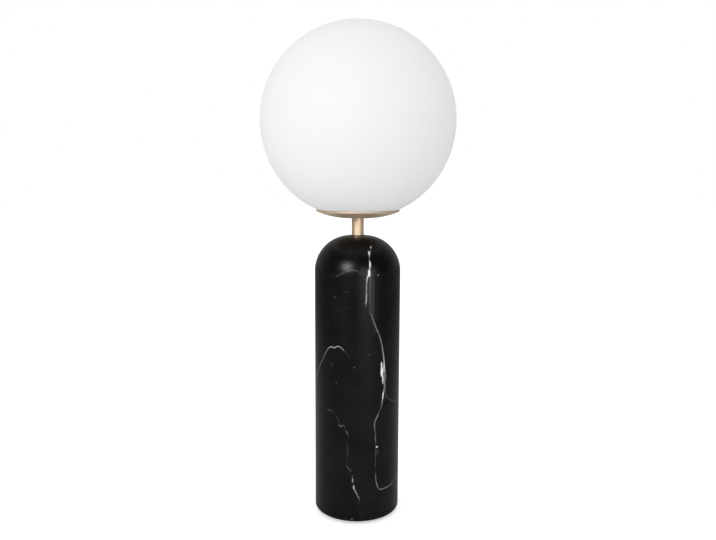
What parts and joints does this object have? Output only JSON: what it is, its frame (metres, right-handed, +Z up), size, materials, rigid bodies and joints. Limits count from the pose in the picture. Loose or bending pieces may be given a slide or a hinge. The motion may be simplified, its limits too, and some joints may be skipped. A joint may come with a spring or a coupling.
{
  "type": "table lamp",
  "caption": "Table lamp with an opal glass globe on a shallow brass dish and a short brass neck, on a round-topped black marble column.",
  "frame": {"origin": "centre of the foot pad's underside", "axes": "+Z up along the lamp's axis, front at -Y, cord inlet at the back, at +Y"},
  "size_m": [0.2, 0.2, 0.5145],
  "materials": {
    "marble": "polished",
    "brass": "satin",
    "opal_glass": "satin",
    "black_fibre": "matte",
    "pad": "matte",
    "steel": "zinc plated",
    "silicone": "matte",
    "black_plastic": "satin",
    "ceramic": "glazed",
    "contact_brass": "bright",
    "white_plastic": "satin",
    "nickel": "nickel plated",
    "board": "white solder mask",
    "circuit": "satin",
    "chip": "gel",
    "diffuser": "frosted"
  },
  "bodies": {
    "lamp_base": {"foot_pad": "pad", "bottom_cover": "steel", "column": "marble", "cord_bushing": "black_plastic", "clamp_washer": "steel", "lock_washer": "steel", "bottom_nut": "steel", "threaded_rod": "steel", "rod_end_bush": "black_plastic", "neck_washer": "black_fibre", "neck_tube": "brass", "globe_dish": "brass", "spring_bracket": "steel", "dish_washer": "steel", "dish_nut": "steel", "globe_seat_ring": "silicone", "lampholder_cap": "black_plastic", "cap_set_screw": "steel", "lampholder_core": "ceramic", "screw_shell": "contact_brass", "centre_contact": "contact_brass", "terminal_blocks": "contact_brass", "terminal_screws": "steel", "lampholder_skirt": "black_plastic"},
    "globe": {"glass_globe": "opal_glass"},
    "bulb": {"bulb_tip_contact": "nickel", "bulb_insulator": "black_plastic", "bulb_screw_cap": "nickel", "bulb_housing": "white_plastic", "bulb_driver_board": "circuit", "bulb_led_board": "board", "bulb_led_chips": "chip", "bulb_diffuser": "diffuser"}
  },
  "joints": [
    {"name": "globe_lift", "type": "slide", "parent": "lamp_base", "child": "globe", "axis": [0, 0, 1], "range_m": [0, 0.12]},
    {"name": "bulb_unscrew", "type": "slide", "parent": "lamp_base", "child": "bulb", "axis": [0, 0, 1], "range_m": [0, 0.03]}
  ]
}
